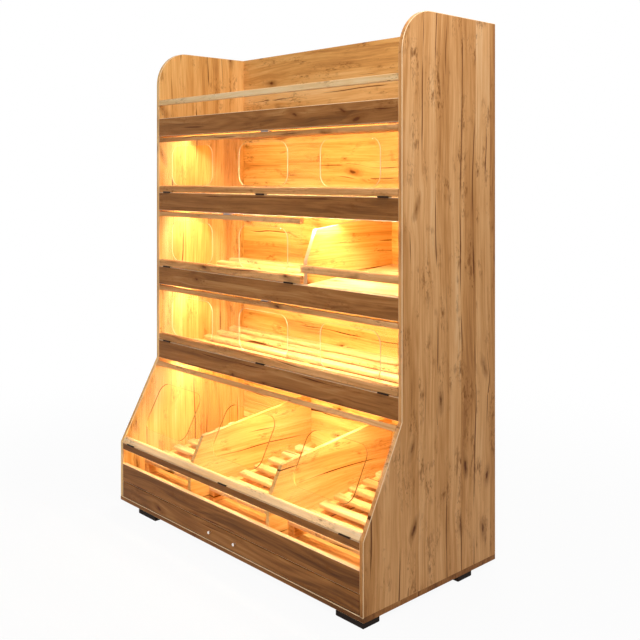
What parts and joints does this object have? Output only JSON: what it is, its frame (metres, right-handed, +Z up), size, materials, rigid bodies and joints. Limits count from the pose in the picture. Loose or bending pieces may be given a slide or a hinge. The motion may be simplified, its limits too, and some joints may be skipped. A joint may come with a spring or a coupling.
{
  "type": "bakery bread rack",
  "caption": "Tall lit bread rack of oak board: slatted tiers behind bottom-hinged clear flaps with hand holes, a leaning bin, an open bay, a gallery rail and a drawer.",
  "frame": {"origin": "on the floor, at the middle of the footprint of the whole rack", "axes": "+Z up, +X to the right as the customer sees it, -Y to the front"},
  "size_m": [1.48, 0.711, 2],
  "materials": {
    "oak_panel": "laminated rustic oak, satin",
    "oak_front": "laminated rustic oak, grain across, satin",
    "oak_batten": "laminated rustic oak, satin",
    "oak_inside": "laminated rustic oak, satin",
    "clear_acrylic": "clear, polished edges",
    "hinge_steel": "dark burnished steel",
    "bright_steel": "zinc plated",
    "catch_plastic": "white, moulded",
    "channel_aluminium": "anodised",
    "light_diffuser": "frosted, lit warm white",
    "driver_case": "brushed case",
    "black_plastic": "black"
  },
  "bodies": {
    "carcass": {"back_panel": "oak_inside", "base_board": "oak_panel", "bay_floor": "oak_inside", "bay_rail": "oak_batten", "bin_dividers": "oak_inside", "bin_front_board": "oak_front", "bin_rail": "oak_front", "bin_slats": "oak_inside", "cable_gland": "black_plastic", "drawer_ceiling": "oak_inside", "fascia_1": "oak_front", "fascia_2": "oak_front", "fascia_3": "oak_front", "fascia_4": "oak_front", "feet": "black_plastic", "fixed_hinge_leaves": "hinge_steel", "gallery_rail": "oak_batten", "hinge_pins": "hinge_steel", "light_channels": "channel_aluminium", "light_diffusers": "light_diffuser", "light_driver": "driver_case", "magnetic_catches": "catch_plastic", "runner_channels": "bright_steel", "shelf_1": "oak_inside", "shelf_2": "oak_inside", "shelf_3": "oak_inside", "shelf_4": "oak_inside", "side_panel_left": "oak_panel", "side_panel_right": "oak_panel", "tier1_slats": "oak_inside", "tier2_divider": "oak_inside", "tier2_slats": "oak_inside", "tier3_slats": "oak_inside", "wedge_cleats": "oak_inside"},
    "tier1_flap": {"tier1_flap_bottom_batten": "oak_batten", "tier1_flap_hinge_leaves": "hinge_steel", "tier1_flap_sheet": "clear_acrylic", "tier1_flap_strike_plate": "bright_steel", "tier1_flap_top_batten": "oak_batten"},
    "tier2_flap": {"tier2_flap_bottom_batten": "oak_batten", "tier2_flap_hinge_leaves": "hinge_steel", "tier2_flap_sheet": "clear_acrylic", "tier2_flap_strike_plate": "bright_steel", "tier2_flap_top_batten": "oak_batten"},
    "tier3_flap": {"tier3_flap_bottom_batten": "oak_batten", "tier3_flap_hinge_leaves": "hinge_steel", "tier3_flap_sheet": "clear_acrylic", "tier3_flap_strike_plate": "bright_steel", "tier3_flap_top_batten": "oak_batten"},
    "bin_flap": {"bin_flap_bottom_batten": "oak_batten", "bin_flap_hinge_leaves": "hinge_steel", "bin_flap_sheet": "clear_acrylic", "bin_flap_top_batten": "oak_batten"},
    "drawer": {"drawer_back": "oak_inside", "drawer_bottom": "oak_inside", "drawer_front": "oak_front", "drawer_pulls": "bright_steel", "drawer_sides": "oak_inside", "drawer_slides": "bright_steel"}
  },
  "joints": [
    {"name": "tier1_flap_hinge", "type": "hinge", "parent": "carcass", "child": "tier1_flap", "pos_m": [0, -0.1629, 1.3655], "axis": [1, 0, 0], "range_deg": [0, 180]},
    {"name": "tier2_flap_hinge", "type": "hinge", "parent": "carcass", "child": "tier2_flap", "pos_m": [0, -0.1629, 1.0335], "axis": [1, 0, 0], "range_deg": [0, 180]},
    {"name": "tier3_flap_hinge", "type": "hinge", "parent": "carcass", "child": "tier3_flap", "pos_m": [0, -0.1629, 0.7015], "axis": [1, 0, 0], "range_deg": [0, 158]},
    {"name": "bin_flap_hinge", "type": "hinge", "parent": "carcass", "child": "bin_flap", "pos_m": [0, -0.3469, 0.2735], "axis": [1, 0, 0], "range_deg": [0, 118]},
    {"name": "drawer_slide", "type": "slide", "parent": "carcass", "child": "drawer", "axis": [0, -1, 0], "range_m": [0, 0.34]}
  ]
}
